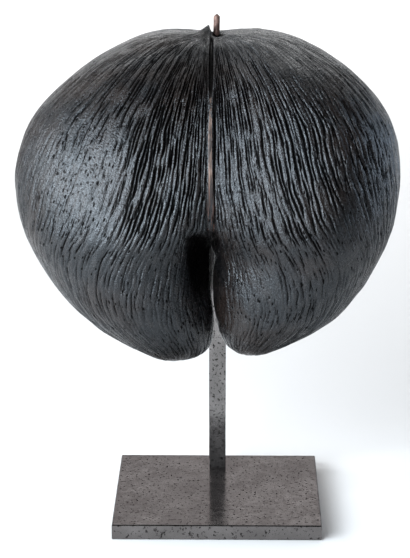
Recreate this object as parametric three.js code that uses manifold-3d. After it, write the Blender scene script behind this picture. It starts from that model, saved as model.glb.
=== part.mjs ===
// Coco de mer on a steel stand.
// Millimetres, Z up, the front towards -Y, the origin under the middle of the base plate.
import * as THREE from "three";
import { mergeVertices } from "three/addons/utils/BufferGeometryUtils.js";
import Module from "manifold-3d";

const wasm = await Module();
wasm.setup();

// Stand
const PLATE_SIDE = 160;
const PLATE_THICK = 12;
const PLATE_CHAMFER = 0.8;
const POST_SIDE = 13.5;
const POST_X = -0.6;
const POST_FRONT = 50;
const POST_CHAMFER = 0.4;
const ARM_THICK = 5;
const ARM_X = -4.6;
const ARM_FRONT = 20;
const ARM_BOTTOM = 193;
const ARM_TOP = 224;
const ROD_RADIUS = 2.5;
const ROD_Y = 24;
const ROD_TOP = 387;
const ROD_CHAMFER = 0.9;
const ROD_LEAN = 1.2;

// Screw that holds the post, driven up through the plate
const SCREW_RADIUS = 3;
const SCREW_LENGTH = 28;
const HEAD_RADIUS = 6;
const HEAD_HEIGHT = 3.3;
const HEAD_SUNK = 0.5;
const SOCKET_RADIUS = 2.3;
const SOCKET_DEPTH = 2;
const SCREW_GAP = 0.3;
const HOLE_SPARE = 2;

// Nut, cut level by level
const NUT_X = -5;
const NUT_PLAY = 0.5;

// Level cuts between the crown and the crotch.
// left and right are the reach of each half from the seam.
// depth is half the thickness and middle is its centre.
// apart is how far each half's centre stands off the seam, as a share of its radius.
const BODY_CUTS = [
  { z: 377.3, left: 0, right: 0, depth: 0, middle: 20, apart: 0.37 },
  { z: 375.8, left: 21.5, right: 27, depth: 20, middle: 19, apart: 0.37 },
  { z: 369.5, left: 58, right: 65, depth: 40, middle: 17, apart: 0.4 },
  { z: 346, left: 100, right: 105.5, depth: 67, middle: 13, apart: 0.47 },
  { z: 311, left: 136, right: 135.5, depth: 85, middle: 8, apart: 0.54 },
  { z: 274, left: 149.5, right: 144, depth: 92, middle: 2, apart: 0.61 },
  { z: 241, left: 147, right: 141, depth: 91, middle: -6, apart: 0.76 },
];

// Level cuts through the two lobes, from the crotch to the tips.
// fall is the share of the way down to the lobe's own tip.
// left and right give how far from the seam each lobe starts and ends.
const CROTCH_Z = 216;
const LOBE_FALL = { left: 88.5, right: 83.8 };
const LOBE_CUTS = [
  { fall: 0, left: [0.6, 137.5], right: [2, 133], depth: 80, middle: -12 },
  { fall: 0.36, left: [0.6, 117.5], right: [0.9, 116], depth: 67, middle: -18 },
  { fall: 0.66, left: [-2.8, 90.5], right: [3.7, 92.5], depth: 51, middle: -22 },
  { fall: 0.91, left: [3.2, 54], right: [11.8, 55], depth: 28, middle: -24 },
  { fall: 1, left: [32, 32], right: [33, 33], depth: 0, middle: -24 },
];

// A level is a place in the list of cuts, so it runs from 0 at the crown to TIP.
const CROTCH = BODY_CUTS.length;
const TIP = CROTCH + LOBE_CUTS.length - 1;
const CLEFT_OPENS_IN = 0.25;

// Crown: a dip across the seam, with a small pointed lip beside the rod's hole
const CROWN_LOW = 330;
const CROWN_HIGH = 370;
const DIP_DEPTH = 4;
const DIP_REACH = 24;
const LIP_X = -6;
const LIP_HEIGHT = 6;
const LIP_REACH = 3.5;

// Hollows beside the seam's lower end, with their middles and reaches in columns and levels
const HOLLOWS = {
  left: { depth: 5, column: -0.93, level: 6.6, wide: 0.055, tall: 0.7 },
  right: { depth: 2, column: -0.95, level: 6.4, wide: 0.03, tall: 0.5 },
};

// Furrows and seam, with their starts and ends given in levels
const FURROWS = 54;
const ROWS_ABOVE = 17;
const ROWS_BELOW = 10;
const CROWN_CROWDING = 1.15;
const CROTCH_CROWDING = 1.25;
const SEAM_CROWDING = 0.12;
const DRIFT_CROWN = 1.15;
const DRIFT_TIP = 0.8;
const FURROW_DEPTH = 2.8;
const FURROW_STARTS = 0.3;
const FURROW_FULL = 2.2;
const FURROW_AT_SIDE = 0.5;
const FURROW_AT_TIP = 0.35;
const SIDE_COLUMN = 0.45;
const WANDER = 0.007;
const SEAM_GROOVE = 3;
const SEAM_BEAD = 1.6;
const BEAD_STARTS = 2.4;
const BEAD_FULL = 3.4;

// Shared helpers
function solidFrom(geometry) {
  const bare = new THREE.BufferGeometry();
  bare.setAttribute("position", geometry.getAttribute("position"));
  bare.setIndex(geometry.index);
  const merged = mergeVertices(bare, 1e-4);
  return new wasm.Manifold(
    new wasm.Mesh({
      numProp: 3,
      vertProperties: new Float32Array(merged.attributes.position.array),
      triVerts: new Uint32Array(merged.index.array),
    }),
  );
}

function geometryFrom(solid) {
  const mesh = solid.getMesh();
  const geometry = new THREE.BufferGeometry();
  geometry.setAttribute("position", new THREE.BufferAttribute(mesh.vertProperties, 3));
  geometry.setIndex(new THREE.BufferAttribute(mesh.triVerts, 1));
  geometry.computeVertexNormals();
  return geometry;
}

// A round piece about the Z axis from [radius, height] points that start and end on the axis.
function turned(profile, sides) {
  const points = profile.map(([radius, height]) => new THREE.Vector2(radius, height));
  return new THREE.LatheGeometry(points, sides).rotateX(Math.PI / 2);
}

// A plain block that stands on z = 0.
function block(width, depth, height) {
  return new THREE.BoxGeometry(width, depth, height).translate(0, 0, height / 2);
}

function smooth(from, to, value) {
  return THREE.MathUtils.smoothstep(value, from, to);
}

// A smooth curve through four numbers in a row, taken between the second and the third.
function curveBetween(a, b, c, d, share) {
  const bend = 2 * a - 5 * b + 4 * c - d;
  const twist = 3 * b - a - 3 * c + d;
  return b + 0.5 * share * (c - a + share * (bend + share * twist));
}

// Nut form
// Every cut of one half as [z, inner, outer, depth, middle, apart].
// One more cut is mirrored at each end, which rounds the crown and the lobe's tip.
function cutsOf(half) {
  const cuts = BODY_CUTS.map((c) => [c.z, 0, c[half], c.depth, c.middle, c.apart]);
  for (const c of LOBE_CUTS) {
    const z = CROTCH_Z - c.fall * LOBE_FALL[half];
    cuts.push([z, c[half][0], c[half][1], c.depth, c.middle, 1]);
  }
  const [topZ, , topOuter, topDepth, topMiddle, topApart] = cuts[1];
  const [endZ, endInner, endOuter, endDepth, endMiddle] = cuts[TIP - 1];
  cuts.unshift([topZ, 0, -topOuter, -topDepth, topMiddle, topApart]);
  cuts.push([endZ, endOuter, endInner, -endDepth, endMiddle, 1]);
  return cuts;
}

const CUTS = { left: cutsOf("left"), right: cutsOf("right") };

function cutAt(half, level) {
  const first = Math.min(Math.floor(level), TIP - 1);
  const [a, b, c, d] = CUTS[half].slice(first, first + 4);
  return b.map((value, i) => curveBetween(a[i], value, c[i], d[i], level - first));
}

// Angle round a half for a column: -1 is the front seam, 0 the outer side and 1 the back seam.
// A column keeps its share of the way from the seam to the outer side, and drifts outwards as it goes down.
const SEAM_COSINE = -BODY_CUTS[0].apart;
function angleOf(column, level, lean) {
  const along = Math.abs(column);
  const even = Math.acos(SEAM_COSINE) * (along + SEAM_CROWDING * Math.sin(Math.PI * along));
  const share = (Math.cos(even) - SEAM_COSINE) / (1 - SEAM_COSINE);
  const drift = THREE.MathUtils.lerp(DRIFT_CROWN, DRIFT_TIP, level / TIP);
  const reach = Math.pow(Math.max(share, 0), drift);
  return Math.sign(column) * Math.acos(THREE.MathUtils.clamp(reach * (1 + lean) - lean, -1, 1));
}

function nutPoint(half, column, level) {
  const [z, inner, outer, depth, middle, apart] = cutAt(half, level);
  const joined = level <= CROTCH;
  const lean = joined ? Math.min(apart, 1) : 1;
  const start = joined ? 0 : inner * smooth(0, CLEFT_OPENS_IN, level - CROTCH);
  const radius = (outer - start) / (1 + lean);
  const angle = angleOf(column, level, lean);
  const onSeam = joined && Math.abs(column) === 1;
  const x = onSeam ? 0 : start + radius * (lean + Math.cos(angle));
  const y = middle + depth * Math.sin(angle);
  const point = new THREE.Vector3(half === "left" ? -x : x, y, z);
  const crown = smooth(CROWN_LOW, CROWN_HIGH, z);
  const fromLip = Math.hypot(point.x - LIP_X, y - BODY_CUTS[0].middle);
  point.z -= crown * DIP_DEPTH * Math.exp(-((point.x / DIP_REACH) ** 2));
  point.z += crown * LIP_HEIGHT * Math.exp(-((fromLip / LIP_REACH) ** 2));
  return point;
}

function nutNormal(half, column, level) {
  const step = 1e-3;
  const c = THREE.MathUtils.clamp(column, step - 1, 1 - step);
  const l = THREE.MathUtils.clamp(level, step, TIP - step);
  const down = nutPoint(half, c, l + step).sub(nutPoint(half, c, l - step));
  const across = nutPoint(half, c + step, l).sub(nutPoint(half, c - step, l));
  const normal = down.cross(across).normalize();
  return half === "left" ? normal.negate() : normal;
}

// Nut relief
// Furrow strength: none at the crown, full on the front and the back, weak at the sides and the tips.
function furrowStrength(column, level) {
  const crown = smooth(FURROW_STARTS, FURROW_FULL, level);
  const side = THREE.MathUtils.lerp(FURROW_AT_SIDE, 1, smooth(0, SIDE_COLUMN, Math.abs(column)));
  const lobe = THREE.MathUtils.lerp(1, FURROW_AT_TIP, smooth(CROTCH, TIP - 1, level));
  return crown * side * lobe * (1 - smooth(TIP - 1, TIP, level));
}

function hollowDepth(half, column, level) {
  const { depth, column: middle, level: height, wide, tall } = HOLLOWS[half];
  return depth * Math.exp(-(((column - middle) / wide) ** 2) - ((level - height) / tall) ** 2);
}

// Depth of the furrows and the seam, by columns numbered from the front seam.
// Odd columns are furrows and even ones ridges.
// The two sine terms make furrows deepen, fade and run together along their way.
function reliefAt(number, column, level) {
  const fromSeam = Math.min(number, 2 * FURROWS - number);
  const onBody = 1 - smooth(CROTCH - 1, CROTCH, level);
  const bead = smooth(BEAD_STARTS, BEAD_FULL, level) * onBody;
  const open = smooth(0, FURROW_STARTS, level) * onBody - bead;
  if (fromSeam === 0) return SEAM_GROOVE * open - SEAM_BEAD * bead;
  if (fromSeam === 1 && level < CROTCH) return SEAM_GROOVE * bead;
  const strength = FURROW_DEPTH * furrowStrength(column, level);
  if (number % 2 === 1) return strength * (0.75 + 0.25 * Math.sin(2.3 * number + 1.9 * level));
  return strength * (0.2 + 0.2 * Math.sin(1.7 * number - 2.6 * level));
}

function levelOfRow(row) {
  if (row <= ROWS_ABOVE) return CROTCH * Math.pow(row / ROWS_ABOVE, CROWN_CROWDING);
  return CROTCH + (TIP - CROTCH) * Math.pow((row - ROWS_ABOVE) / ROWS_BELOW, CROTCH_CROWDING);
}

function nutVertex(half, number, row) {
  const level = levelOfRow(row);
  const even = number / FURROWS - 1;
  const sway = Math.sin(17 * even + 2.1 * level) * (1 - even ** 8);
  const column = even + WANDER * sway * smooth(FURROW_STARTS, FURROW_FULL, level);
  const point = nutPoint(half, column, level).add(new THREE.Vector3(NUT_X, 0, 0));
  if (row === 0 || row === ROWS_ABOVE + ROWS_BELOW) return point;
  const normal = nutNormal(half, column, level);
  if (level <= CROTCH && Math.abs(even) === 1) normal.setX(0).normalize();
  const depth = reliefAt(number, column, level) + hollowDepth(half, column, level);
  return point.addScaledVector(normal, -depth);
}

// The two halves share the crown, the front and back seams and the crotch.
// Each lobe closes on its own tip.
function nutGeometry() {
  const columns = 2 * FURROWS;
  const rows = ROWS_ABOVE + ROWS_BELOW;
  const indices = new Map();
  const positions = [];
  function keyOf(half, number, row) {
    const atSeam = number % columns === 0;
    if (row === 0) return "crown";
    if (row === rows) return `${half} tip`;
    if (row === ROWS_ABOVE && atSeam) return "crotch";
    if (row < ROWS_ABOVE && atSeam) return `seam ${row} ${number}`;
    return `${half} ${row} ${row > ROWS_ABOVE ? number % columns : number}`;
  }
  function vertex(half, number, row) {
    const key = keyOf(half, number, row);
    if (!indices.has(key)) {
      indices.set(key, indices.size);
      positions.push(...nutVertex(half, number, row).toArray());
    }
    return indices.get(key);
  }
  const faces = [];
  for (const half of ["left", "right"]) {
    const [near, far] = half === "left" ? [0, 1] : [1, 0];
    for (let row = 0; row < rows; row++) {
      for (let number = 0; number < columns; number++) {
        const a = vertex(half, number + near, row);
        const b = vertex(half, number + far, row);
        const c = vertex(half, number + far, row + 1);
        const d = vertex(half, number + near, row + 1);
        if (row > 0) faces.push(a, b, c);
        if (row < rows - 1) faces.push(a, c, d);
      }
    }
  }
  const geometry = new THREE.BufferGeometry();
  geometry.setAttribute("position", new THREE.Float32BufferAttribute(positions, 3));
  geometry.setIndex(faces);
  return geometry;
}

// Stand pieces
const POST_Y = POST_FRONT + POST_SIDE / 2;
const ARM_LENGTH = POST_FRONT - ARM_FRONT;
const ARM_Y = ARM_FRONT + ARM_LENGTH / 2;
const ROUND_SIDES = 24;
const ROD_SIDES = 16;

function plateGeometry() {
  const reach = PLATE_SIDE / 2 - PLATE_CHAMFER;
  const outline = new THREE.Shape();
  outline.moveTo(-reach, -reach);
  outline.lineTo(reach, -reach);
  outline.lineTo(reach, reach);
  outline.lineTo(-reach, reach);
  outline.closePath();
  const slab = new THREE.ExtrudeGeometry(outline, {
    depth: PLATE_THICK - 2 * PLATE_CHAMFER,
    bevelSize: PLATE_CHAMFER,
    bevelThickness: PLATE_CHAMFER,
    bevelSegments: 1,
  });
  slab.translate(0, 0, PLATE_CHAMFER);
  const shank = SCREW_RADIUS + SCREW_GAP;
  const head = HEAD_RADIUS + SCREW_GAP;
  const below = -HOLE_SPARE;
  const above = PLATE_THICK + HOLE_SPARE;
  const neck = HEAD_SUNK + HEAD_HEIGHT;
  const profile = [[0, below], [head, below], [head, HEAD_SUNK], [shank, neck], [shank, above], [0, above]];
  const hole = turned(profile, ROUND_SIDES).translate(POST_X, POST_Y, 0);
  return geometryFrom(solidFrom(slab).subtract(solidFrom(hole)));
}

function postGeometry() {
  const side = POST_SIDE / 2;
  const flat = side - POST_CHAMFER;
  const outline = new THREE.Shape();
  outline.moveTo(-flat, -side);
  outline.lineTo(flat, -side);
  outline.lineTo(side, -flat);
  outline.lineTo(side, flat);
  outline.lineTo(flat, side);
  outline.lineTo(-flat, side);
  outline.lineTo(-side, flat);
  outline.lineTo(-side, -flat);
  outline.closePath();
  const bar = new THREE.ExtrudeGeometry(outline, { depth: ARM_TOP - PLATE_THICK, bevelEnabled: false });
  bar.translate(POST_X, POST_Y, PLATE_THICK);
  const radius = SCREW_RADIUS + SCREW_GAP;
  const end = HEAD_SUNK + SCREW_LENGTH + HOLE_SPARE;
  const hole = turned([[0, 0], [radius, 0], [radius, end], [0, end + radius]], ROUND_SIDES);
  hole.translate(POST_X, POST_Y, 0);
  return geometryFrom(solidFrom(bar).subtract(solidFrom(hole)));
}

function screwGeometry() {
  const start = HEAD_SUNK;
  const neck = HEAD_SUNK + HEAD_HEIGHT;
  const end = HEAD_SUNK + SCREW_LENGTH;
  const profile = [[0, start], [HEAD_RADIUS, start], [SCREW_RADIUS, neck], [SCREW_RADIUS, end], [0, end]];
  const socket = [[0, 0], [SOCKET_RADIUS, 0], [SOCKET_RADIUS, SOCKET_DEPTH], [0, SOCKET_DEPTH]];
  const body = solidFrom(turned(profile, ROUND_SIDES));
  return geometryFrom(body.subtract(solidFrom(turned(socket, 6)))).translate(POST_X, POST_Y, 0);
}

function armGeometry() {
  return block(ARM_THICK, ARM_LENGTH, ARM_TOP - ARM_BOTTOM).translate(ARM_X, ARM_Y, ARM_BOTTOM);
}

// Stands a round piece on the arm, where it leans to the right like the rod.
function leaned(geometry) {
  const lean = THREE.MathUtils.degToRad(ROD_LEAN);
  const lift = ROD_RADIUS * Math.sin(lean);
  return geometry.rotateY(lean).translate(ARM_X, ROD_Y, ARM_TOP + lift);
}

function rodGeometry() {
  const end = ROD_RADIUS - ROD_CHAMFER;
  const top = ROD_TOP - ARM_TOP;
  const shoulder = top - ROD_CHAMFER;
  const profile = [[0, 0], [ROD_RADIUS, 0], [ROD_RADIUS, shoulder], [end, top], [0, top]];
  return leaned(turned(profile, ROD_SIDES));
}

// The nut is bored for the rod and notched to sit on the arm, with a little play all round.
function seatedNutGeometry() {
  const radius = ROD_RADIUS + NUT_PLAY;
  const top = ROD_TOP - ARM_TOP;
  const bore = leaned(turned([[0, 0], [radius, 0], [radius, top], [0, top]], ROD_SIDES));
  const notch = block(ARM_THICK + 2 * NUT_PLAY, ARM_LENGTH + 2 * NUT_PLAY, ARM_TOP + NUT_PLAY - ARM_BOTTOM);
  notch.translate(ARM_X, ARM_Y, ARM_BOTTOM);
  return geometryFrom(solidFrom(nutGeometry()).subtract(solidFrom(bore)).subtract(solidFrom(notch)));
}

// Assembly
const shell = new THREE.MeshStandardMaterial({ color: 0x2a2624, roughness: 0.45, metalness: 0 });
const steel = new THREE.MeshStandardMaterial({ color: 0x6d6e6e, roughness: 0.4, metalness: 1 });
const rust = new THREE.MeshStandardMaterial({ color: 0x6b4438, roughness: 0.7, metalness: 0.6 });

const part = new THREE.Group();
function place(name, geometry, material) {
  const mesh = new THREE.Mesh(geometry, material);
  mesh.name = name;
  part.add(mesh);
}

place("coco_de_mer", seatedNutGeometry(), shell);
place("base_plate", plateGeometry(), steel);
place("post", postGeometry(), steel);
place("post_screw", screwGeometry(), steel);
place("arm", armGeometry(), steel);
place("rod", rodGeometry(), rust);

export default part;
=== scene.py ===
"""Looks of a coco de mer on its steel stand: the furrowed nut, its seam fibre, and the worn metal."""

import math

import bpy
import numpy as np
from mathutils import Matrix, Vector


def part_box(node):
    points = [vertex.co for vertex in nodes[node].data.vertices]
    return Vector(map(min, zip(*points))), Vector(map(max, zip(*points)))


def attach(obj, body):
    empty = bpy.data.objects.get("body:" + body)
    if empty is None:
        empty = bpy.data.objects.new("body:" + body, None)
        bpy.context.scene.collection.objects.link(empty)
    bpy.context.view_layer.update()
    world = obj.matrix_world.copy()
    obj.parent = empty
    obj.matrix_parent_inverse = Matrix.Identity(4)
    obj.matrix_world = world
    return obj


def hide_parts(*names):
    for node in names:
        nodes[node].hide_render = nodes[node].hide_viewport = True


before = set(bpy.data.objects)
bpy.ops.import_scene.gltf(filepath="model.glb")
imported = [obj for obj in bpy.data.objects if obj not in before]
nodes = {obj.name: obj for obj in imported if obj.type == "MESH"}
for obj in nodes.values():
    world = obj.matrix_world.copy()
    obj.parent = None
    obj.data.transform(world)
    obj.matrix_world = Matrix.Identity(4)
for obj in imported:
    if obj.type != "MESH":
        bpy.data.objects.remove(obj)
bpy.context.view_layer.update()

# Camera, as the photograph was taken, in metres and degrees
CAMERA_PLACE = (0.01275, -1.6878, 0.6376)
CAMERA_DOWN = 15.03
CAMERA_LEFT = 0.77
CAMERA_LENS = 145.6
CAMERA_SENSOR = 36

# Nut form, the same level cuts as the solid's, in metres
LEFT, RIGHT = 0, 1
SEAM_X = -0.005

# Above the crotch: height, left reach, right reach, half thickness, its centre,
# and how far the halves stand apart
BODY_CUTS = (
    (0.3773, 0.0000, 0.0000, 0.000, 0.020, 0.37),
    (0.3758, 0.0215, 0.0270, 0.020, 0.019, 0.37),
    (0.3695, 0.0580, 0.0650, 0.040, 0.017, 0.40),
    (0.3460, 0.1000, 0.1055, 0.067, 0.013, 0.47),
    (0.3110, 0.1360, 0.1355, 0.085, 0.008, 0.54),
    (0.2740, 0.1495, 0.1440, 0.092, 0.002, 0.61),
    (0.2410, 0.1470, 0.1410, 0.091, -0.006, 0.76),
)

# Through the lobes: share of the fall to the tip, start and end of the left and of the right lobe,
# half thickness and its centre
LOBE_CUTS = (
    (0.00, (0.0006, 0.1375), (0.0020, 0.1330), 0.080, -0.012),
    (0.36, (0.0006, 0.1175), (0.0009, 0.1160), 0.067, -0.018),
    (0.66, (-0.0028, 0.0905), (0.0037, 0.0925), 0.051, -0.022),
    (0.91, (0.0032, 0.0540), (0.0118, 0.0550), 0.028, -0.024),
    (1.00, (0.0320, 0.0320), (0.0330, 0.0330), 0.000, -0.024),
)
CROTCH_Z = 0.216
LOBE_FALL = (0.0885, 0.0838)
CROTCH = len(BODY_CUTS)
TIP = CROTCH + len(LOBE_CUTS) - 1
CLEFT_OPENS_IN = 0.25
SEAM_COSINE = -BODY_CUTS[0][5]
SEAM_CROWDING = 0.12
DRIFT_CROWN = 1.15
DRIFT_TIP = 0.8

# Crown: a dip across the seam, a fold that rises towards the seam's left edge, and a hole in front of the rod
CROWN_LOW = 0.330
CROWN_HIGH = 0.370
DIP_DEPTH = 0.004
DIP_REACH = 0.024
FOLD_X = -0.0022
FOLD_Y = 0.017
FOLD_HEIGHT = 0.0065
FOLD_LEFT_REACH = 0.0058
FOLD_RIGHT_REACH = 0.0016
FOLD_LENGTH = 0.009
FOLD_SHARPNESS = 1.5
HOLE_X = 0.0048
HOLE_Y = 0.0155
HOLE_DEPTH = 0.005
HOLE_REACH = (0.0040, 0.0068)
HOLE_LEVEL = 2

# Recess beside the seam's lower end, one a half: depth, the columns where it is full and where it ends,
# the levels where it starts at the seam and at its outer end, and the levels over which it fades below
RECESSES = (
    (0.0060, (-0.965, -0.830), (6.20, 5.50), (6.8, 9.0)),
    (0.0020, (-0.980, -0.945), (6.20, 6.00), (6.4, 7.2)),
)
RECESS_FULL_IN = 0.6
RECESS_FROM_SEAM = 0.03
# Painted shade in the recess, as a share of full darkness
RECESS_PAINTED_SHADE = 0.75

# Mesh of the nut
COLUMNS = 472
FRONT_CROWDING = 1.7
ROWS_ABOVE = 64
ROWS_BELOW = 37
CROWN_CROWDING = 2.5
CROWN_REACH = 0.014

# Fan of the furrows: how far they drift outwards, over which levels, and how much of it reaches the seam
FAN = 0.42
FAN_LEVELS = (4.2, 8.8)
FAN_AT_SEAM = 0.12
FAN_GROWTH = 1.2

# Furrows of one half. Places and wanders are in columns, which run from -1 to 1 round a half,
# and waves are counted along one level.
SEED = 11
KNOTS = 64
FURROWS = 136
FURROW_REACH = 1.2
FURROW_JITTER = 0.36
FURROW_DEPTH = 0.0021
FURROW_WIDTH = (0.0005, 0.0009)
FURROW_SHARPNESS = 2.6
FURROW_ROUNDING = 0.25
OWN_WANDER = 0.0065
OWN_WAVES = 3.4
SHARED_WANDER = 0.007
SHARED_COUNT = 22
SHARED_WAVES = 1.6
DEPTH_WAVES = 4.3
DEPTH_RANGE = (0.2, 0.62)
DEPTH_LEAST = 0.06
WIDTH_LEAST = 0.6
WIDTH_GROWTH = 0.45
WIDTH_IN_GAP = 0.32
PATCH_COUNT = 12
PATCH_WAVES = 0.9
PATCH_RANGE = (0.2, 0.6)
PATCH_LEAST = 0.6
SWELL_HEIGHT = 0.0004
SWELL_COUNT = 40
SWELL_WAVES = 3.3
SWELL_STARTS = (0.5, 2)

# Strength of the furrows near the crown, at the sides and on the lobes, with the levels or columns
# over which it changes
CROWN_STRENGTH = 0.32
CROWN_STARTS = (0.1, 1.2)
CROWN_GROWS = (1.2, 3.6)
SIDE_STRENGTH = 0.42
SIDE_COLUMNS = (0.05, 0.5)
LOBE_STRENGTH = 0.5
LOBE_LEVELS = (CROTCH - 1.2, CROTCH + 0.5)

# Worn and rough patches: half, middle as column and level, reach of each, and furrow strength there
STRENGTH_PATCHES = (
    (LEFT, (-0.40, 4.7), (0.15, 1.1), 0.55),
    (LEFT, (-0.72, 4.6), (0.17, 1.5), 1.3),
    (RIGHT, (-0.80, 4.6), (0.15, 1.6), 0.6),
    (RIGHT, (-0.40, 2.6), (0.17, 0.8), 0.35),
    (RIGHT, (-0.36, 6.2), (0.14, 1.2), 0.45),
)

# Pitted patches: half, middle, reach and how densely pitted they are. Pits are mesh points drawn at random.
PIT_DEPTH = 0.001
PITS_EVERYWHERE = 0.002
PITS_AT_MOST = 0.012
PIT_SIZE = (0.5, 1)
PIT_LEVELS = (1, TIP - 0.5)
PIT_PATCHES = (
    (LEFT, (-0.40, 4.7), (0.15, 1.0), 0.8),
    (RIGHT, (-0.82, 6.2), (0.15, 1.2), 1.0),
    (LEFT, (-0.60, 8.2), (0.30, 1.4), 0.35),
    (RIGHT, (-0.60, 8.2), (0.30, 1.4), 0.4),
)

# Seam
SEAM_DEPTH = 0.0036
SEAM_WIDTH = 0.0013
BEAD_HEIGHT = 0.0007
BEAD_WIDTH = 0.0016
BEAD_GROOVE = 0.0018
BEAD_GROOVE_WIDTH = 0.0010
BEAD_GROOVE_PLACE = 0.0030
# Painted shade in the groove beside the bead, for the left and for the right half
BEAD_GROOVE_PAINTED_SHADE = (0.3, 0.9)
GROOVE_STARTS = (0.2, 1.2)
BEAD_LEVELS = (2.6, 3.6)

# Fibre along the front seam
FIBRES = 34
FIBRE_LEVELS = (3.1, 6.15)
FIBRE_RADIUS = (0.00025, 0.0005)
FIBRE_SPREAD = (0.0014, 0.0030)
FIBRE_HEIGHT = 0.0012
FIBRE_TURNS_TAN = (0.268, 0.284)
FIBRE_STARTED = 0.6
FIBRE_SHORTEST = 0.5
FIBRE_SPREADS = (4.6, 6.0)
FIBRE_WAVES = 2.2
FIBRE_SWAY = 0.35
FIBRE_LOWEST = 0.1
FIBRE_ROUNDING = 0.6
FIBRE_ENDS = (0.03, 0.97)
FIBRE_TAPER = 0.4
FIBRE_STEPS = 70
FIBRE_SIDES = 6

# Rod, and the play that the nut has round the rod and the arm
ROD_STEPS = 90
ROD_SIDES = 24
ROD_PITTING = 0.00012
NUT_PLAY = 0.0005

# Colours
SHELL_DARK = (0.004, 0.004, 0.0046, 1)
SHELL_BROWN = (0.010, 0.0065, 0.0052, 1)
SHELL_WORN = (0.015, 0.013, 0.0125, 1)
# Painted shade inside the shell's small pits and short dashes
SHELL_PAINTED_PIT_SHADE = (0.002, 0.002, 0.002, 1)
# Painted shade: near-black for furrow floors, pits, the recess, the seam grooves and the crown hole
SHELL_PAINTED_SHADE = (0.002, 0.0018, 0.0018, 1)
SHELL_SHEEN = (0.85, 0.93, 1, 1)
FIBRE_TAN = ((0.02, 0.012, 0.009, 1), (0.2, 0.13, 0.1, 1))
FIBRE_BROWN = ((0.007, 0.004, 0.0035, 1), (0.07, 0.029, 0.019, 1))
RUST = ((0.045, 0.022, 0.017, 1), (0.16, 0.095, 0.077, 1))
PLATE_STEEL = ((0.13, 0.12, 0.117, 1), (0.168, 0.156, 0.152, 1))
POST_STEEL = ((0.16, 0.151, 0.147, 1), (0.31, 0.292, 0.285, 1))
# Painted shade: the arm's steel is far darker than the rest of the stand's, for the shade it lies in
ARM_STEEL_PAINTED_SHADE = ((0.03, 0.028, 0.028, 1), (0.05, 0.047, 0.047, 1))
SCREW_STEEL = ((0.3, 0.3, 0.3, 1), (0.4, 0.4, 0.4, 1))
STEEL_SPECK = (0.02, 0.018, 0.017, 1)
STEEL_EDGE = ((0.54, 0.525, 0.528, 1), (0.42, 0.405, 0.408, 1))
SPECK_EDGE = (0.33, 0.315, 0.315, 1)
BLACK = (0, 0, 0, 1)
WHITE = (1, 1, 1, 1)
PAPER = (0.65, 0.65, 0.65, 1)
STUDIO_GREY = (0.015, 0.015, 0.015, 1)

# Lights: name, place, aim, width, height, power and colour
NUT_MIDDLE = (0, 0, 0.25)
LIGHTS = (
    ("key", (-0.95, -1.16, 0.7), NUT_MIDDLE, 1.5, 0.8, 86, (0.87, 0.94, 1)),
    ("side", (-1.6, 0.1, 0.85), NUT_MIDDLE, 0.6, 0.6, 18, (0.95, 0.97, 1)),
    ("rim", (1.3, 0.75, 0.5), NUT_MIDDLE, 0.3, 0.8, 5, (0.68, 0.82, 1)),
    ("top", (0, 1.5, 2.4), (0, 1.5, 0), 2.4, 2.4, 36, (1, 0.98, 0.96)),
    ("far_floor", (0, 2.6, 1.7), (0, 2.6, 0), 3.0, 1.0, 48, (1, 1, 1)),
)

# Floor: its reach, where it starts to bend up behind the part, the bend's radius and its steps
FLOOR_REACH = 6.0
FLOOR_BACK = 2.2
FLOOR_BEND = 1.2
FLOOR_TURNS = 16


# Small helpers
def smooth(low, high, value):
    """Eases from 0 at low to 1 at high."""
    share = np.clip((value - low) / (high - low), 0, 1)
    return share * share * (3 - 2 * share)


def blend(low, high, share):
    return low + (high - low) * share


def eased_noise(table, across, along):
    """Smooth noise from a table of random values, at places counted in the table's steps."""
    def corner(step_across, step_along):
        first = (np.floor(across).astype(int) + step_across) % table.shape[0]
        second = (np.floor(along).astype(int) + step_along) % table.shape[1]
        return table[first, second]

    share_across = smooth(0, 1, across - np.floor(across))
    share_along = smooth(0, 1, along - np.floor(along))
    near = blend(corner(0, 0), corner(1, 0), share_across)
    far = blend(corner(0, 1), corner(1, 1), share_across)
    return blend(near, far, share_along)


def mesh_object(name, points, faces):
    mesh = bpy.data.meshes.new(name)
    mesh.from_pydata(points, [], faces)
    mesh.validate()
    mesh.shade_smooth()
    made = bpy.data.objects.new(name, mesh)
    bpy.context.scene.collection.objects.link(made)
    return made


# Nut form
def cuts_of(half):
    """Every cut of one half, with one more mirrored at each end to round the crown and the tip."""
    cuts = []
    for z, left, right, depth, middle, apart in BODY_CUTS:
        cuts.append((z, 0, (left, right)[half], depth, middle, apart))
    for fall, left, right, depth, middle in LOBE_CUTS:
        inner, outer = (left, right)[half]
        cuts.append((CROTCH_Z - fall * LOBE_FALL[half], inner, outer, depth, middle, 1))
    z, inner, outer, depth, middle, apart = cuts[1]
    before = (z, inner, -outer, -depth, middle, apart)
    z, inner, outer, depth, middle, apart = cuts[TIP - 1]
    after = (z, outer, inner, -depth, middle, apart)
    return np.array([before, *cuts, after])


CUTS = (cuts_of(LEFT), cuts_of(RIGHT))


def cut_at(half, level):
    """The cut at any level, on a smooth curve through the four cuts round it."""
    first = np.minimum(np.floor(level).astype(int), TIP - 1)
    a, b, c, d = (CUTS[half][first + step] for step in range(4))
    share = (level - first)[..., None]
    bend = 2 * a - 5 * b + 4 * c - d
    twist = 3 * b - a - 3 * c + d
    made = b + 0.5 * share * (c - a + share * (bend + share * twist))
    return np.moveaxis(made, -1, 0)


def angle_of(column, level, lean):
    """Angle round a half: a column keeps its share of the reach, and drifts outwards on its way down."""
    along = np.abs(column)
    even = math.acos(SEAM_COSINE) * (along + SEAM_CROWDING * np.sin(math.pi * along))
    share = np.maximum((np.cos(even) - SEAM_COSINE) / (1 - SEAM_COSINE), 0)
    reach = share ** blend(DRIFT_CROWN, DRIFT_TIP, level / TIP)
    return np.sign(column) * np.arccos(np.clip(reach * (1 + lean) - lean, -1, 1))


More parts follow.
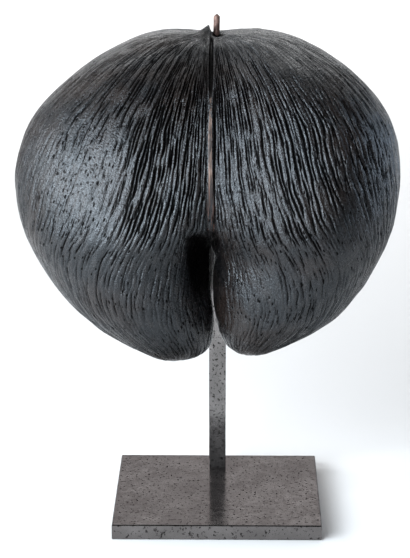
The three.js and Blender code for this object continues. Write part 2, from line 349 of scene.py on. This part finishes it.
def nut_points(half, column, level):
    """Points on the plain form, without furrows."""
    z, inner, outer, depth, middle, apart = cut_at(half, level)
    joined = level <= CROTCH
    lean = np.where(joined, np.minimum(apart, 1), 1)
    start = np.where(joined, 0, inner * smooth(0, CLEFT_OPENS_IN, level - CROTCH))
    radius = (outer - start) / (1 + lean)
    angle = angle_of(column, level, lean)
    x = start + radius * (lean + np.cos(angle))
    x = np.where(joined & (np.abs(column) == 1), 0, x)
    y = middle + depth * np.sin(angle)
    x = -x if half == LEFT else x
    crown = smooth(CROWN_LOW, CROWN_HIGH, z)
    z = z - crown * DIP_DEPTH * np.exp(-((x / DIP_REACH) ** 2))
    z = z + crown * FOLD_HEIGHT * fold_shape(x, y)
    z = z - crown * HOLE_DEPTH * hole_shape(x, y)
    return np.stack([x + SEAM_X, y, z], axis=-1)


def fold_shape(x, y):
    """The fold's height as a share: a long slope from the left, and a steep fall into the seam."""
    from_crest = x - FOLD_X
    reach = np.where(from_crest < 0, FOLD_LEFT_REACH, FOLD_RIGHT_REACH)
    return np.exp(-((np.abs(from_crest) / reach) ** FOLD_SHARPNESS) - ((y - FOLD_Y) / FOLD_LENGTH) ** 2)


def hole_shape(x, y):
    """The hole's depth as a share, longer towards the front than it is wide."""
    return np.exp(-(((x - HOLE_X) / HOLE_REACH[0]) ** 2) - ((y - HOLE_Y) / HOLE_REACH[1]) ** 2)


def even_levels():
    """Levels of the rows along the middle of the front, closer at the crown, with one row on the crotch."""
    fine = np.linspace(0, TIP, 2000)
    line = nut_points(LEFT, np.full_like(fine, -0.5), fine)
    steps = np.linalg.norm(np.diff(line, axis=0), axis=1)
    steps = steps * (1 + CROWN_CROWDING * np.exp(-np.cumsum(steps) / CROWN_REACH))
    walked = np.concatenate([[0], np.cumsum(steps)])
    to_crotch = np.interp(CROTCH, fine, walked)
    above = np.linspace(0, to_crotch, ROWS_ABOVE + 1)
    below = np.linspace(to_crotch, walked[-1], ROWS_BELOW + 1)[1:]
    levels = np.interp(np.concatenate([above, below]), walked, fine)
    levels[ROWS_ABOVE] = CROTCH
    return levels


def slopes(points):
    """Steps along the columns and across them, with the columns closing on themselves below the crotch."""
    along = np.gradient(points, axis=0)
    before = np.concatenate([points[:, :1], points[:, :-1]], axis=1)
    after = np.concatenate([points[:, 1:], points[:, -1:]], axis=1)
    before[ROWS_ABOVE + 1:, 0] = points[ROWS_ABOVE + 1:, -2]
    after[ROWS_ABOVE + 1:, -1] = points[ROWS_ABOVE + 1:, 1]
    return along, after - before


def outward(half, points):
    """Unit normals of the plain form."""
    along, across = slopes(points)
    normal = np.cross(along, across)
    normal = -normal if half == LEFT else normal
    normal[:ROWS_ABOVE + 1, (0, -1), 0] = 0
    size = np.linalg.norm(normal, axis=-1, keepdims=True)
    return normal / np.maximum(size, 1e-12)


# Fan of the furrows, on columns counted from the seam: 0 at the seam and 1 at the outer side
def fan_at(level):
    return FAN * smooth(*FAN_LEVELS, level)


def fan_shape(from_seam, at_seam):
    """Share of the fan's drift: little at the seam, most halfway to the side, none at the side."""
    return (1 - from_seam ** 3) * (at_seam + FAN_GROWTH * from_seam)


def traced_column(column, level):
    """The column that a furrow through a place would have without the fan."""
    from_seam = 1 - np.abs(column)
    return np.sign(column) * (1 - from_seam + fan_at(level) * fan_shape(from_seam, FAN_AT_SEAM))


def fanned_columns(even, levels):
    """Columns of the mesh at every level, drifting outwards with the furrows but held at the seam."""
    fine = np.linspace(0, 1, 400)
    rows = []
    for level in levels:
        unfanned = fine - fan_at(level) * fan_shape(fine, 0)
        rows.append(np.sign(even) * (1 - np.interp(1 - np.abs(even), unfanned, fine)))
    return np.array(rows)


# Nut relief
def patch(column, level, middle, reach):
    """A soft patch on a half: 1 in its middle, 0 far from it."""
    return np.exp(-(((column - middle[0]) / reach[0]) ** 2) - ((level - middle[1]) / reach[1]) ** 2)


def furrow_strength(half, column, level):
    """None at the crown, full on the front and the back, weak at the sides and tips, or as a patch says."""
    crown = smooth(*CROWN_STARTS, level) * blend(CROWN_STRENGTH, 1, smooth(*CROWN_GROWS, level))
    side = blend(SIDE_STRENGTH, 1, smooth(*SIDE_COLUMNS, np.abs(column)))
    lobe = blend(1, LOBE_STRENGTH, smooth(*LOBE_LEVELS, level))
    strength = crown * side * lobe * (1 - smooth(TIP - 1, TIP, level))
    for patch_half, middle, reach, factor in STRENGTH_PATCHES:
        if patch_half == half:
            strength = strength * blend(1, factor, patch(column, level, middle, reach))
    return strength


def furrow_tables(rng):
    """Random values of one half's furrows."""
    spread = rng.uniform(-FURROW_JITTER, FURROW_JITTER, FURROWS)
    return {
        "place": ((np.arange(FURROWS) + 0.5 + spread) * 2 / FURROWS - 1) * FURROW_REACH,
        "width": rng.uniform(*FURROW_WIDTH, FURROWS),
        "own": rng.uniform(-1, 1, (FURROWS, KNOTS)),
        "depth": rng.uniform(0, 1, (FURROWS, KNOTS)),
        "shared": rng.uniform(-1, 1, (SHARED_COUNT, KNOTS)),
        "patches": rng.uniform(0, 1, (2 * PATCH_COUNT, KNOTS)),
        "swell": rng.uniform(-1, 1, (2 * SWELL_COUNT, KNOTS)),
    }


def furrow_row(tables, column, level, stretch, strength):
    """Depth along one row as a share: the furrows' cuts, and the rounding of the ridges between them."""
    number = np.arange(FURROWS)
    at_level = np.full(FURROWS, level)
    own = eased_noise(tables["own"], number, at_level * OWN_WAVES)
    waves = (tables["place"] / FURROW_REACH + 1) * SHARED_COUNT / 2
    shared = eased_noise(tables["shared"], waves, at_level * SHARED_WAVES)
    depth = eased_noise(tables["depth"], number, at_level * DEPTH_WAVES)
    depth = blend(DEPTH_LEAST, 1, smooth(*DEPTH_RANGE, depth))
    centre = tables["place"] + OWN_WANDER * own + SHARED_WANDER * shared
    order = np.argsort(centre)
    centre, depth, width = centre[order], depth[order], tables["width"][order]
    after = np.clip(np.searchsorted(centre, column), 1, FURROWS - 1)
    gap = np.maximum(centre[after] - centre[after - 1], 1e-4) * stretch
    cut = np.zeros_like(column)
    for side in (after - 1, after):
        away = np.abs(column - centre[side]) * stretch
        wide = np.minimum(width[side] * (WIDTH_LEAST + WIDTH_GROWTH * strength), WIDTH_IN_GAP * gap)
        cut = np.maximum(cut, depth[side] * np.exp(-((away / wide) ** FURROW_SHARPNESS)))
    between = np.clip((column - centre[after - 1]) * stretch / gap, 0, 1)
    return cut, FURROW_ROUNDING * (2 * between - 1) ** 2


def seam_relief(level, away):
    """Depth of the seam: an open groove from the crown, and lower down a bead with a groove on each side."""
    on_body = 1 - smooth(CROTCH - 1, CROTCH, level)
    bead = smooth(*BEAD_LEVELS, level) * on_body
    open_groove = smooth(*GROOVE_STARTS, level) * on_body - bead
    groove = SEAM_DEPTH * np.exp(-((away / SEAM_WIDTH) ** 2))
    ridge = BEAD_HEIGHT * np.exp(-((away / BEAD_WIDTH) ** 2))
    return open_groove * groove + bead * (BEAD_GROOVE * bead_groove(away) - ridge)


def bead_groove(away):
    """The groove beside the bead, as a share of its depth."""
    return np.exp(-(((away - BEAD_GROOVE_PLACE) / BEAD_GROOVE_WIDTH) ** 2))


def recess_of(half, column, level):
    """Share of the recess, with a slanted rim above and a soft end on the lobe's inner side."""
    _, (full, end), (seam_start, end_start), fade = RECESSES[half]
    start = blend(seam_start, end_start, np.clip((column + 1) / (end + 1), 0, 1))
    across = 1 - smooth(full, end, column)
    return across * smooth(start, start + RECESS_FULL_IN, level) * (1 - smooth(*fade, level))


def pitted_share(half, column, level):
    """How densely pitted a place is."""
    share = np.zeros_like(column)
    for patch_half, middle, reach, most in PIT_PATCHES:
        if patch_half == half:
            share = np.maximum(share, most * patch(column, level, middle, reach))
    return share


def pits_of(half, column, level, rng):
    """Depth of the pits that are single mesh points, drawn more often in the pitted patches."""
    often = PITS_EVERYWHERE + PITS_AT_MOST * pitted_share(half, column, level)
    drawn = rng.uniform(0, 1, column.shape) < often
    size = rng.uniform(*PIT_SIZE, column.shape)
    return np.where(drawn & (level > PIT_LEVELS[0]) & (level < PIT_LEVELS[1]), size, 0)


def relief_of(half, column, levels, points, rng):
    """Depth below the plain form at every mesh point of a half, and the share of painted shade there: darker
    in furrow floors, pits, the recess, the seam grooves and the hole.
    """
    tables = furrow_tables(rng)
    level = np.broadcast_to(levels[:, None], points.shape[:2])
    step = np.linalg.norm(slopes(points)[1], axis=-1) / 2
    traced = traced_column(column, level)
    stretch = step / np.maximum(np.gradient(traced, axis=1), 1e-6)
    patches = eased_noise(tables["patches"], (column + 1) * PATCH_COUNT / 2, level * PATCH_WAVES)
    swell = eased_noise(tables["swell"], (column + 1) * SWELL_COUNT / 2, level * SWELL_WAVES)
    strength = furrow_strength(half, column, level) * blend(PATCH_LEAST, 1, smooth(*PATCH_RANGE, patches))
    cuts = np.zeros(points.shape[:2])
    crests = np.zeros(points.shape[:2])
    for row in range(1, len(levels) - 1):
        cuts[row], crests[row] = furrow_row(tables, traced[row], levels[row], stretch[row], strength[row])
    walked = np.cumsum(np.linalg.norm(np.diff(points, axis=1, prepend=points[:, :1]), axis=-1), axis=1)
    from_seam = np.minimum(walked, walked[:, -1:] - walked)
    free = np.where(level < CROTCH, smooth(SEAM_WIDTH, 3 * SEAM_WIDTH, from_seam), 1)
    pits = pits_of(half, column, level, rng) * free
    ends = smooth(*SWELL_STARTS, level) * (1 - smooth(TIP - 1, TIP, level))
    recess = recess_of(half, column, level)
    depth = FURROW_DEPTH * strength * (cuts + crests) * free + SWELL_HEIGHT * swell * ends * free
    depth = depth + PIT_DEPTH * pits * (1 - cuts)
    depth = depth + RECESSES[half][0] * recess * smooth(-1, RECESS_FROM_SEAM - 1, column)
    depth = depth + np.where(level < CROTCH, seam_relief(level, from_seam), 0)
    # Painted shade in the open seam groove from the crown down
    groove = smooth(*GROOVE_STARTS, level) * (1 - smooth(*BEAD_LEVELS, level))
    groove = groove * np.exp(-((from_seam / SEAM_WIDTH) ** 2))
    # Painted shade in the grooves beside the bead, more on the right half
    beside = smooth(*BEAD_LEVELS, level) * (1 - smooth(CROTCH - 1, CROTCH, level))
    beside = BEAD_GROOVE_PAINTED_SHADE[half] * beside * bead_groove(from_seam)
    # Painted shade in the hole in front of the rod
    hole = hole_shape(points[..., 0] - SEAM_X, points[..., 1]) * (level < HOLE_LEVEL)
    # Painted shade: furrow floors and pits, the recess, the seam grooves and the hole are marked darker
    dark = np.maximum(cuts * strength, pits) * free
    for shade in (RECESS_PAINTED_SHADE * recess, groove, beside, hole):
        dark = np.maximum(dark, shade)
    return depth, dark


# Nut mesh
def shared_numbers():
    """Vertex numbers of both halves, which share the crown, the seams and the crotch. Each lobe has a tip."""
    rows = ROWS_ABOVE + ROWS_BELOW
    count = (rows + 1) * (COLUMNS + 1)
    halves = [np.arange(count).reshape(rows + 1, COLUMNS + 1) + half * count for half in (LEFT, RIGHT)]
    left, right = halves
    right[:ROWS_ABOVE, (0, -1)] = left[:ROWS_ABOVE, (0, -1)]
    for numbers in halves:
        numbers[0] = left[0, 0]
        numbers[ROWS_ABOVE, (0, -1)] = left[ROWS_ABOVE, 0]
        numbers[ROWS_ABOVE + 1:, -1] = numbers[ROWS_ABOVE + 1:, 0]
        numbers[-1] = numbers[-1, 0]
    return halves


def corner_grid(grid, half):
    """The four corners of every mesh cell, in the order that faces outwards."""
    near, far = grid[:, :-1], grid[:, 1:]
    if half == RIGHT:
        near, far = far, near
    return near[:-1], far[:-1], far[1:], near[1:]


def cell_corners(grid, half):
    """A grid's values at every face's corners, row by row: triangles at the crown and the tip, else quads."""
    a, b, c, d = corner_grid(grid, half)
    top = np.stack([a[0], c[0], d[0]], axis=-1)
    middle = np.stack([a[1:-1], b[1:-1], c[1:-1], d[1:-1]], axis=-1).reshape(-1, 4)
    bottom = np.stack([a[-1], b[-1], c[-1]], axis=-1)
    return [*top.tolist(), *middle.tolist(), *bottom.tolist()]


def column_places():
    """Columns from the front seam round the outside to the back seam, closer together at the front."""
    return 2 * np.linspace(0, 1, COLUMNS + 1) ** FRONT_CROWDING - 1


def grain_grids(half, even, points):
    """Places across and along the furrows, in metres, for the material's fine grain."""
    width = np.linalg.norm(np.diff(points[ROWS_ABOVE // 2], axis=0), axis=-1).sum()
    across = np.broadcast_to((even + 2 + 3 * half) * width / 2, points.shape[:2])
    steps = np.linalg.norm(np.diff(points, axis=0, prepend=points[:1]), axis=-1)
    along = np.cumsum(steps, axis=0)
    return across, along


def nut_mesh():
    """The nut as one closed mesh, with the painted shade of its creases and hollows and its grain marked for
    the material.
    """
    rng = np.random.default_rng(SEED)
    levels = even_levels()
    even = column_places()
    columns = fanned_columns(even, levels)
    level_grid = np.broadcast_to(levels[:, None], columns.shape)
    points, crease_shades, pitted, faces, across, along = [], [], [], [], [], []
    for half, numbers in enumerate(shared_numbers()):
        plain = nut_points(half, columns, level_grid)
        depth, floor = relief_of(half, columns, levels, plain, rng)
        depth[0] = depth[-1] = 0
        moved = plain - outward(half, plain) * depth[..., None]
        points.append(moved.reshape(-1, 3))
        crease_shades.append(floor.ravel())
        pitted.append(pitted_share(half, columns, level_grid).ravel())
        faces += cell_corners(numbers, half)
        grain_across, grain_along = grain_grids(half, even, plain)
        across += cell_corners(grain_across, half)
        along += cell_corners(grain_along, half)
    used, faces = renumbered(faces)
    nut = mesh_object("nut", np.concatenate(points)[used].tolist(), faces)
    # Painted shade of the creases and hollows, kept for the material
    mark_points(nut, "painted_crease_shade", np.concatenate(crease_shades)[used])
    mark_points(nut, "pitted", np.concatenate(pitted)[used])
    places = np.stack([np.concatenate(across), np.concatenate(along)], axis=-1)
    nut.data.uv_layers.new(name="grain").uv.foreach_set("vector", places.astype(np.float32).ravel())
    return nut


def mark_points(piece, name, values):
    """Keeps one value at each mesh point for the material."""
    mark = piece.data.attributes.new(name, "FLOAT", "POINT")
    mark.data.foreach_set("value", values.astype(np.float32))


def renumbered(faces):
    """The vertex numbers that the faces use, and the faces with those numbered from 0."""
    used = sorted({corner for face in faces for corner in face})
    place = {old: new for new, old in enumerate(used)}
    return used, [[place[corner] for corner in face] for face in faces]


def cut_out(piece, cutter):
    """Cuts another closed mesh out of a piece."""
    cut = piece.modifiers.new("cut", "BOOLEAN")
    cut.object = cutter
    cut.solver = "MANIFOLD"
    graph = bpy.context.evaluated_depsgraph_get()
    made = bpy.data.meshes.new_from_object(piece.evaluated_get(graph))
    made.materials.clear()
    piece.modifiers.clear()
    piece.data = made
    bpy.data.objects.remove(cutter)


def rod_line():
    """Radius of the leaning rod, and the middles of its two ends."""
    low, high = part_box("rod")
    radius = (high.y - low.y) / 2
    middle = (low.y + high.y) / 2
    return radius, np.array([(low.x + radius, middle, low.z), (high.x - radius, middle, high.z)])


def rod_bore():
    """The round hole that the rod stands in."""
    radius, (foot, top) = rod_line()
    radius = radius + NUT_PLAY
    return mesh_object("bore", *tube(np.array([foot, top]), (radius, radius), ROD_SIDES))


def arm_notch():
    """The slot that the arm lies in."""
    low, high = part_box("arm")
    low, high = low - Vector([NUT_PLAY] * 3), high + Vector([NUT_PLAY] * 3)
    ring = ((low.x, low.y), (high.x, low.y), (high.x, high.y), (low.x, high.y))
    points = [(x, y, z) for z in (low.z, high.z) for x, y in ring]
    faces = [(3, 2, 1, 0), (4, 5, 6, 7)]
    faces += [(i, (i + 1) % 4, (i + 1) % 4 + 4, i + 4) for i in range(4)]
    return mesh_object("notch", points, faces)


# Strands and rod
def tube(path, radii, sides):
    """Points and faces of a round strand along a path, closed at both ends."""
    ahead = np.gradient(path, axis=0)
    side = np.cross(ahead, (0, 1, 0))
    side = side / np.linalg.norm(side, axis=-1, keepdims=True)
    front = np.cross(side, ahead)
    front = front / np.linalg.norm(front, axis=-1, keepdims=True)
    angles = np.arange(sides) * 2 * math.pi / sides
    ring = side[:, None] * np.cos(angles)[:, None] + front[:, None] * np.sin(angles)[:, None]
    points = (path[:, None] + ring * np.asarray(radii)[:, None, None]).reshape(-1, 3)
    faces = [tuple(range(sides))]
    for step in range(len(path) - 1):
        first = step * sides
        for turn in range(sides):
            after = (turn + 1) % sides
            faces.append((first + after, first + turn, first + sides + turn, first + sides + after))
    faces.append(tuple(reversed(range(len(points) - sides, len(points)))))
    return points.tolist(), faces


def fibre_strand(rng):
    """One strand of the seam's fibre: its path, lying on the seam and waving to the sides, and its radii."""
    start = rng.uniform(FIBRE_LEVELS[0], blend(*FIBRE_LEVELS, FIBRE_STARTED))
    end = rng.uniform(blend(start, FIBRE_LEVELS[1], FIBRE_SHORTEST), FIBRE_LEVELS[1])
    level = np.linspace(start, end, FIBRE_STEPS)
    seam = nut_points(LEFT, np.full(FIBRE_STEPS, -1.0), level)
    ahead = np.gradient(seam, axis=0)
    out = np.cross(ahead, (1, 0, 0))
    out = out / np.linalg.norm(out, axis=-1, keepdims=True)
    out = out * -np.sign(out[:, 1:2])
    spread = blend(*FIBRE_SPREAD, smooth(*FIBRE_SPREADS, level))
    lane = rng.uniform(-1, 1)
    wave = rng.uniform(-1, 1, (1, KNOTS))
    sway = eased_noise(wave, np.zeros(FIBRE_STEPS), level * FIBRE_WAVES)
    aside = spread * np.clip(lane + FIBRE_SWAY * sway, -1, 1)
    height = FIBRE_HEIGHT * rng.uniform(FIBRE_LOWEST, 1) * (1 - FIBRE_ROUNDING * (aside / spread) ** 2)
    path = seam + out * np.broadcast_to(height, (FIBRE_STEPS,))[:, None]
    path[:, 0] += aside
    ends = np.sin(math.pi * np.linspace(*FIBRE_ENDS, FIBRE_STEPS)) ** FIBRE_TAPER
    return path, rng.uniform(*FIBRE_RADIUS) * ends


def fibre_mesh():
    """The strands of fibre along the front seam."""
    rng = np.random.default_rng(SEED + 1)
    points, faces = [], []
    for _ in range(FIBRES):
        made, strand = tube(*fibre_strand(rng), FIBRE_SIDES)
        faces += [tuple(corner + len(points) for corner in face) for face in strand]
        points += made
    return mesh_object("seam_fibre", points, faces)


def rod_mesh():
    """The rod with rust pitting and a rounded end."""
    rng = np.random.default_rng(SEED + 2)
    radius, (foot, top) = rod_line()
    share = np.linspace(0, 1, ROD_STEPS)[:, None]
    path = blend(foot, top, share)
    to_end = np.clip((top[2] - path[:, 2]) / radius, 0, 1)
    radii = radius * np.sqrt(np.maximum(1 - (1 - to_end) ** 2, 0.02))
    points, faces = tube(path, radii, ROD_SIDES)
    points = np.array(points).reshape(ROD_STEPS, ROD_SIDES, 3)
    inward = path[:, None] - points
    inward = inward / np.linalg.norm(inward, axis=-1, keepdims=True)
    points = points + inward * rng.uniform(0, ROD_PITTING, (ROD_STEPS, ROD_SIDES, 1))
    return mesh_object("rusty_rod", points.reshape(-1, 3).tolist(), faces)


# Materials
def feed(tree, socket, value):
    """Links another node's output to the socket, or sets a constant on it."""
    if isinstance(value, bpy.types.NodeSocket):
        tree.links.new(value, socket)
    else:
        socket.default_value = value


def noise(tree, place, scale, detail=4.0, rough=0.6):
    made = tree.nodes.new("ShaderNodeTexNoise")
    feed(tree, made.inputs["Vector"], place)
    made.inputs["Scale"].default_value = scale
    made.inputs["Detail"].default_value = detail
    made.inputs["Roughness"].default_value = rough
    return made.outputs["Fac"]


def ranged(tree, value, low, high, to_low=0.0, to_high=1.0):
    made = tree.nodes.new("ShaderNodeMapRange")
    made.interpolation_type = "SMOOTHSTEP"
    feed(tree, made.inputs["Value"], value)
    made.inputs["From Min"].default_value = low
    made.inputs["From Max"].default_value = high
    made.inputs["To Min"].default_value = to_low
    made.inputs["To Max"].default_value = to_high
    return made.outputs["Result"]


def mixed(tree, share, first, second):
    made = tree.nodes.new("ShaderNodeMix")
    made.data_type = "RGBA"
    feed(tree, made.inputs[0], share)
    feed(tree, made.inputs[6], first)
    feed(tree, made.inputs[7], second)
    return made.outputs[2]


def bumped(tree, height, strength, distance):
    made = tree.nodes.new("ShaderNodeBump")
    feed(tree, made.inputs["Height"], height)
    made.inputs["Strength"].default_value = strength
    made.inputs["Distance"].default_value = distance
    return made.outputs["Normal"]


def attribute(tree, name):
    made = tree.nodes.new("ShaderNodeAttribute")
    made.attribute_name = name
    return made.outputs["Fac"]


def object_place(tree):
    return tree.nodes.new("ShaderNodeTexCoord").outputs["Object"]


def new_material(name):
    material = bpy.data.materials.new(name)
    material.use_nodes = True
    return material, material.node_tree, material.node_tree.nodes["Principled BSDF"]


def scaled(tree, place, scale):
    """Places drawn out by a different scale on each axis."""
    made = tree.nodes.new("ShaderNodeMapping")
    feed(tree, made.inputs["Vector"], place)
    made.inputs["Scale"].default_value = scale
    return made.outputs["Vector"]


def stretched(tree, across, along):
    """The grain's places, drawn out by different scales across and along the furrows."""
    places = tree.nodes.new("ShaderNodeUVMap")
    places.uv_map = "grain"
    return scaled(tree, places.outputs["UV"], (across, along, 1))


def cells(tree, place, scale):
    """Distance from the middle of the nearest of many random cells."""
    made = tree.nodes.new("ShaderNodeTexVoronoi")
    feed(tree, made.inputs["Vector"], place)
    made.inputs["Scale"].default_value = scale
    return made.outputs["Distance"]


def multiplied(tree, first, second):
    made = tree.nodes.new("ShaderNodeMath")
    made.operation = "MULTIPLY"
    feed(tree, made.inputs[0], first)
    feed(tree, made.inputs[1], second)
    return made.outputs[0]


def summed(tree, first, second, factor):
    """The first value plus the second times a factor."""
    made = tree.nodes.new("ShaderNodeMath")
    made.operation = "MULTIPLY_ADD"
    feed(tree, made.inputs[0], second)
    made.inputs[1].default_value = factor
    feed(tree, made.inputs[2], first)
    return made.outputs[0]


def shell_material():
    """Dark satin shell: brown patches and fine streaks, with shade painted near-black into furrow floors,
    short dashes and small pits.
    """
    material, tree, shader = new_material("nut_shell")
    place = object_place(tree)
    # Painted shade that the mesh marks in the creases and hollows
    floor = ranged(tree, attribute(tree, "painted_crease_shade"), 0.1, 0.5)
    broad = noise(tree, place, 20)
    grain = noise(tree, place, 750, 3)
    streaks = noise(tree, stretched(tree, 800, 90), 1, 3)
    dashes = ranged(tree, cells(tree, stretched(tree, 400, 130), 1), 0.12, 0.24)
    pits = ranged(tree, cells(tree, place, 330), 0.16, 0.32)
    holes = multiplied(tree, dashes, mixed(tree, attribute(tree, "pitted"), WHITE, pits))
    dark = mixed(tree, ranged(tree, broad, 0.4, 0.65), SHELL_DARK, SHELL_BROWN)
    worn = mixed(tree, ranged(tree, streaks, 0.45, 0.75), dark, SHELL_WORN)
    # Painted shade: the dashes and pits, dents in the bump, are also coloured near-black
    pitted = mixed(tree, holes, SHELL_PAINTED_PIT_SHADE, worn)
    colour = mixed(tree, floor, pitted, SHELL_PAINTED_SHADE)
    feed(tree, shader.inputs["Base Color"], colour)
    feed(tree, shader.inputs["Roughness"], ranged(tree, grain, 0.3, 0.7, 0.22, 0.36))
    # The painted shade also takes the shine out of the creases, the pits and the dashes
    shine = mixed(tree, floor, holes, BLACK)
    feed(tree, shader.inputs["Specular IOR Level"], ranged(tree, shine, 0, 1, 0.03, 0.5))
    shader.inputs["Specular Tint"].default_value = SHELL_SHEEN
    height = summed(tree, summed(tree, grain, streaks, 1.2), holes, 0.6)
    feed(tree, shader.inputs["Normal"], bumped(tree, height, 0.7, 0.0009))
    return material


def fibre_material():
    """Dry fibre: tan above, and red-brown towards its ragged lower end."""
    material, tree, shader = new_material("seam_fibre")
    place = object_place(tree)
    height = tree.nodes.new("ShaderNodeSeparateXYZ")
    feed(tree, height.inputs["Vector"], place)
    upper = ranged(tree, height.outputs["Z"], *FIBRE_TURNS_TAN)
    shade = ranged(tree, noise(tree, scaled(tree, place, (900, 300, 70)), 1, 3), 0.42, 0.68)
    tan = mixed(tree, shade, *FIBRE_TAN)
    brown = mixed(tree, shade, *FIBRE_BROWN)
    feed(tree, shader.inputs["Base Color"], mixed(tree, upper, brown, tan))
    shader.inputs["Roughness"].default_value = 0.55
    feed(tree, shader.inputs["Normal"], bumped(tree, shade, 0.3, 0.0003))
    return material


def steel_material(name, tones, specks):
    """Mill-finished steel: cloudy, mottled grey with dark specks."""
    dark, light = tones
    material, tree, shader = new_material(name)
    place = object_place(tree)
    broad = noise(tree, place, 45, 6)
    mottle = ranged(tree, noise(tree, place, 190, 5), 0.35, 0.65)
    fine = noise(tree, place, 420, 4)
    speck = ranged(tree, fine, specks, specks + 0.06)
    cloudy = mixed(tree, ranged(tree, broad, 0.35, 0.65), dark, light)
    colour = mixed(tree, multiplied(tree, mottle, 0.5), cloudy, dark)
    feed(tree, shader.inputs["Base Color"], mixed(tree, speck, colour, STEEL_SPECK))
    edge = mixed(tree, mottle, *STEEL_EDGE)
    feed(tree, shader.inputs["Specular Tint"], mixed(tree, speck, edge, SPECK_EDGE))
    shader.inputs["Metallic"].default_value = 0.92
    shader.inputs["Specular IOR Level"].default_value = 0
    feed(tree, shader.inputs["Roughness"], ranged(tree, broad, 0.3, 0.7, 0.1, 0.2))
    feed(tree, shader.inputs["Normal"], bumped(tree, fine, 0.08, 0.0002))
    return material


def rust_material():
    """Rusty iron: pinkish brown with dark patches."""
    material, tree, shader = new_material("rusty_iron")
    place = object_place(tree)
    patches = noise(tree, place, 300, 5)
    colour = mixed(tree, ranged(tree, patches, 0.35, 0.65), *RUST)
    feed(tree, shader.inputs["Base Color"], colour)
    shader.inputs["Metallic"].default_value = 0.2
    shader.inputs["Roughness"].default_value = 0.62
    feed(tree, shader.inputs["Normal"], bumped(tree, patches, 0.4, 0.0005))
    return material


def dress(node, material):
    """Gives a CAD node its finish."""
    node.data.materials.clear()
    node.data.materials.append(material)


# Stage
def floor_piece():
    """A pale floor that curves up into a back wall."""
    line = [(-FLOOR_REACH, 0.0)]
    for step in range(FLOOR_TURNS + 1):
        angle = math.pi / 2 * step / FLOOR_TURNS
        line.append((FLOOR_BACK + FLOOR_BEND * math.sin(angle), FLOOR_BEND - FLOOR_BEND * math.cos(angle)))
    line.append((FLOOR_BACK + FLOOR_BEND, FLOOR_REACH))
    points = [(side * FLOOR_REACH, y, z) for y, z in line for side in (-1, 1)]
    faces = [(2 * i, 2 * i + 1, 2 * i + 3, 2 * i + 2) for i in range(len(line) - 1)]
    floor = mesh_object("floor", points, faces)
    material, tree, shader = new_material("floor_paper")
    shader.inputs["Base Color"].default_value = PAPER
    shader.inputs["Roughness"].default_value = 0.9
    floor.data.materials.append(material)


def area_light(name, place, aim, width, height, power, colour):
    light = bpy.data.lights.new(name, "AREA")
    light.shape = "RECTANGLE"
    light.size = width
    light.size_y = height
    light.energy = power
    light.color = colour
    made = bpy.data.objects.new(name, light)
    made.location = place
    made.rotation_euler = (Vector(aim) - Vector(place)).to_track_quat("-Z", "Y").to_euler()
    bpy.context.scene.collection.objects.link(made)


def studio():
    for light in LIGHTS:
        area_light(*light)
    world = bpy.data.worlds.new("studio")
    world.use_nodes = True
    world.node_tree.nodes["Background"].inputs["Color"].default_value = STUDIO_GREY
    bpy.context.scene.world = world
    bpy.context.scene.view_settings.view_transform = "Standard"


def camera():
    data = bpy.data.cameras.new("camera")
    data.lens = CAMERA_LENS
    data.sensor_width = CAMERA_SENSOR
    made = bpy.data.objects.new("camera", data)
    made.location = CAMERA_PLACE
    made.rotation_euler = (math.radians(90 - CAMERA_DOWN), 0, math.radians(CAMERA_LEFT))
    bpy.context.scene.collection.objects.link(made)
    bpy.context.scene.camera = made


# The part
nut = nut_mesh()
cut_out(nut, rod_bore())
cut_out(nut, arm_notch())
nut.data.materials.append(shell_material())
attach(nut, "root")
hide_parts("coco_de_mer")

fibre = fibre_mesh()
fibre.data.materials.append(fibre_material())
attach(fibre, "root")

rod = rod_mesh()
rod.data.materials.append(rust_material())
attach(rod, "root")
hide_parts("rod")

dress(nodes["base_plate"], steel_material("plate_steel", PLATE_STEEL, 0.58))
dress(nodes["post"], steel_material("post_steel", POST_STEEL, 0.55))
# The arm's steel has shade painted into it, for the nut's slit that it lies in
dress(nodes["arm"], steel_material("arm_steel_painted_shade", ARM_STEEL_PAINTED_SHADE, 0.62))
dress(nodes["post_screw"], steel_material("screw_steel", SCREW_STEEL, 0.75))

camera()
floor_piece()
studio()
